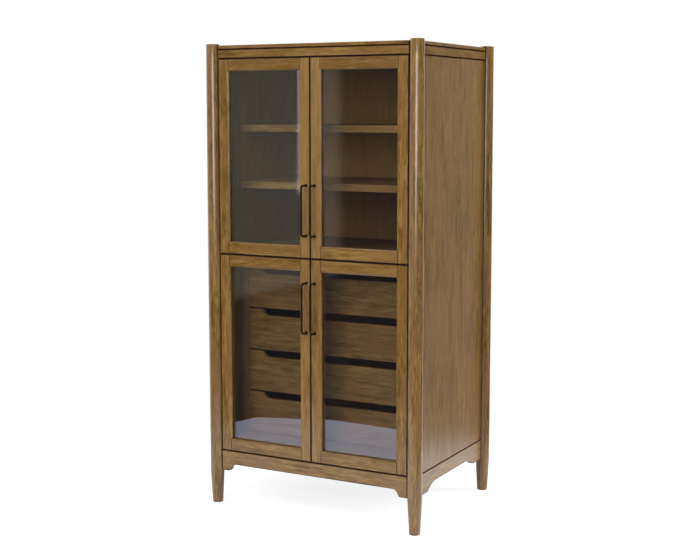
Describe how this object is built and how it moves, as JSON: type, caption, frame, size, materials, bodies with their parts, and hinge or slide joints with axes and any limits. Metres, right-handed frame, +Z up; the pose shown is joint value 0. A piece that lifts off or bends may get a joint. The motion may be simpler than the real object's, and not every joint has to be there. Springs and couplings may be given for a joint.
{
  "type": "display cabinet",
  "caption": "Tall wooden display cabinet on round corner posts, with framed glass doors, shelves and inner drawers behind the lower doors.",
  "frame": {"origin": "on the floor under the middle of the cabinet", "axes": "+Z up, +X to the right seen from the front, the doors face -Y"},
  "size_m": [0.936, 0.7359, 1.83],
  "materials": {
    "wood": "satin",
    "inner_wood": "satin",
    "glass": "clear, polished",
    "black_metal": "satin black",
    "steel": "zinc plated",
    "bumper": "matte",
    "glide": "matte"
  },
  "bodies": {
    "cabinet": {"post_front_left": "wood", "post_front_right": "wood", "post_rear_left": "wood", "post_rear_right": "wood", "top_board": "wood", "top_rail_front": "wood", "top_rail_rear": "wood", "top_rails_side": "wood", "apron_front": "wood", "apron_rear": "wood", "aprons_side": "wood", "side_panel_left": "wood", "side_panel_right": "wood", "back_panel": "inner_wood", "middle_deck": "inner_wood", "bottom_panel": "inner_wood", "shelf_upper": "inner_wood", "shelf_lower": "inner_wood", "shelf_pins": "steel", "drawer_housing": "inner_wood", "runner_channels": "steel", "hinge_mounts": "steel", "door_stops": "bumper", "foot_glides": "glide"},
    "upper_left_door": {"upper_left_door_stiles": "wood", "upper_left_door_rails": "wood", "upper_left_door_glass": "glass", "upper_left_door_beads": "wood", "upper_left_door_pull": "black_metal", "upper_left_door_hinge_cups": "steel"},
    "upper_right_door": {"upper_right_door_stiles": "wood", "upper_right_door_rails": "wood", "upper_right_door_glass": "glass", "upper_right_door_beads": "wood", "upper_right_door_pull": "black_metal", "upper_right_door_hinge_cups": "steel"},
    "lower_left_door": {"lower_left_door_stiles": "wood", "lower_left_door_rails": "wood", "lower_left_door_glass": "glass", "lower_left_door_beads": "wood", "lower_left_door_pull": "black_metal", "lower_left_door_hinge_cups": "steel"},
    "lower_right_door": {"lower_right_door_stiles": "wood", "lower_right_door_rails": "wood", "lower_right_door_glass": "glass", "lower_right_door_beads": "wood", "lower_right_door_pull": "black_metal", "lower_right_door_hinge_cups": "steel"},
    "drawer_1": {"drawer_1_front": "inner_wood", "drawer_1_box": "inner_wood", "drawer_1_runners": "steel"},
    "drawer_2": {"drawer_2_front": "inner_wood", "drawer_2_box": "inner_wood", "drawer_2_runners": "steel"},
    "drawer_3": {"drawer_3_front": "inner_wood", "drawer_3_box": "inner_wood", "drawer_3_runners": "steel"},
    "drawer_4": {"drawer_4_front": "inner_wood", "drawer_4_box": "inner_wood", "drawer_4_runners": "steel"}
  },
  "joints": [
    {"name": "upper_left_door_hinge", "type": "hinge", "parent": "cabinet", "child": "upper_left_door", "pos_m": [-0.402, -0.335, 1.393], "axis": [0, 0, -1], "range_deg": [0, 110]},
    {"name": "upper_right_door_hinge", "type": "hinge", "parent": "cabinet", "child": "upper_right_door", "pos_m": [0.402, -0.335, 1.393], "axis": [0, 0, 1], "range_deg": [0, 110]},
    {"name": "lower_left_door_hinge", "type": "hinge", "parent": "cabinet", "child": "lower_left_door", "pos_m": [-0.402, -0.335, 0.616], "axis": [0, 0, -1], "range_deg": [0, 110]},
    {"name": "lower_right_door_hinge", "type": "hinge", "parent": "cabinet", "child": "lower_right_door", "pos_m": [0.402, -0.335, 0.616], "axis": [0, 0, 1], "range_deg": [0, 110]},
    {"name": "drawer_1_slide", "type": "slide", "parent": "cabinet", "child": "drawer_1", "axis": [0, -1, 0], "range_m": [0, 0.138]},
    {"name": "drawer_2_slide", "type": "slide", "parent": "cabinet", "child": "drawer_2", "axis": [0, -1, 0], "range_m": [0, 0.138]},
    {"name": "drawer_3_slide", "type": "slide", "parent": "cabinet", "child": "drawer_3", "axis": [0, -1, 0], "range_m": [0, 0.138]},
    {"name": "drawer_4_slide", "type": "slide", "parent": "cabinet", "child": "drawer_4", "axis": [0, -1, 0], "range_m": [0, 0.138]}
  ]
}
